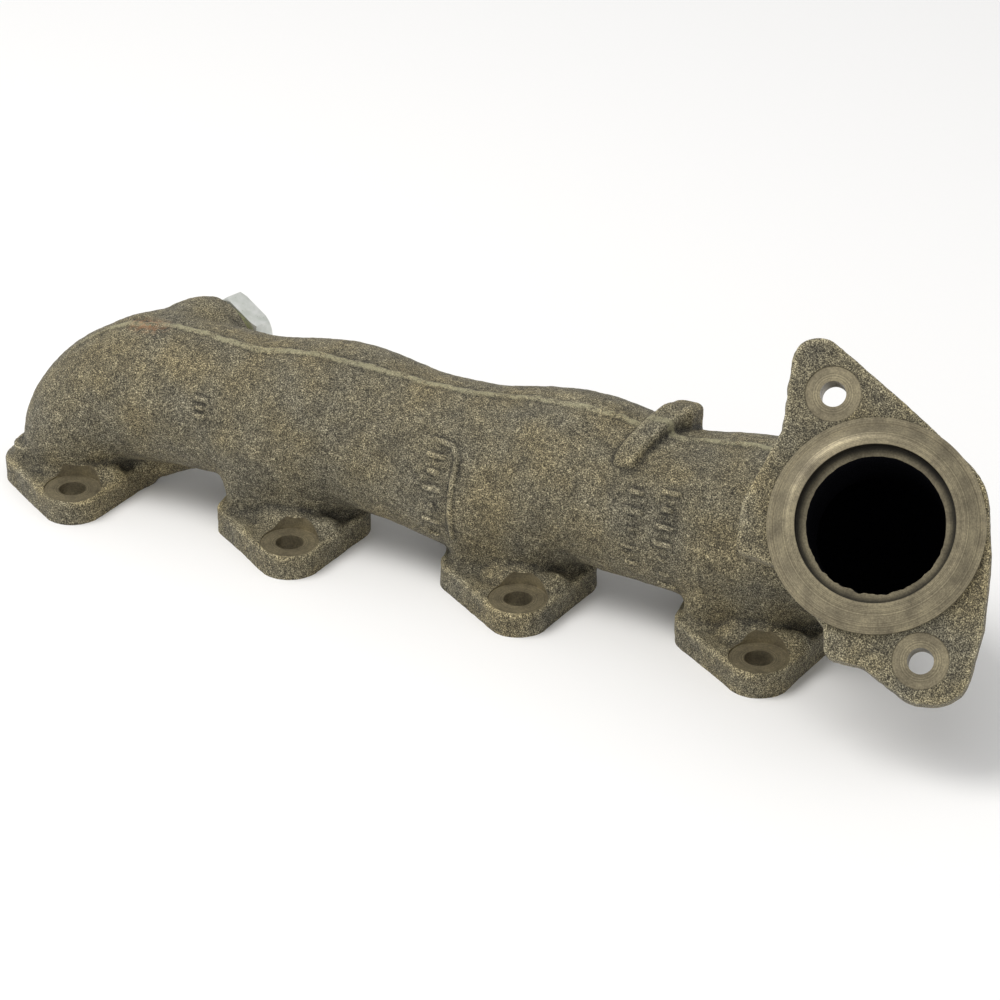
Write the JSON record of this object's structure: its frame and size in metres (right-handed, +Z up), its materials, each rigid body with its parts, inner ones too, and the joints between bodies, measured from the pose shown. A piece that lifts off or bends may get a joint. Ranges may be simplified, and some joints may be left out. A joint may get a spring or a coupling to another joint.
{
  "type": "exhaust manifold",
  "caption": "Cast iron log exhaust manifold with separate lozenge port flanges, a swept end elbow, an angled outlet flange with a conical seat and a screwed-in gas recirculation adapter.",
  "frame": {"origin": "centre of the port 1 stud pattern on the port gasket face, port 1 being under the swept elbow", "axes": "+X along the port row toward the outlet, +Y away from the near studs, +Z up out of the port faces toward the log"},
  "size_m": [0.4382, 0.1354, 0.1365],
  "materials": {
    "cast_iron": "rough sand-cast skin, machined on the gasket faces, spotfaces and outlet seat",
    "plated_steel": "bright zinc plate with a yellow-green passivated thread"
  },
  "bodies": {
    "root": {"manifold_casting": "cast_iron", "egr_tube_adapter": "plated_steel"}
  },
  "joints": []
}
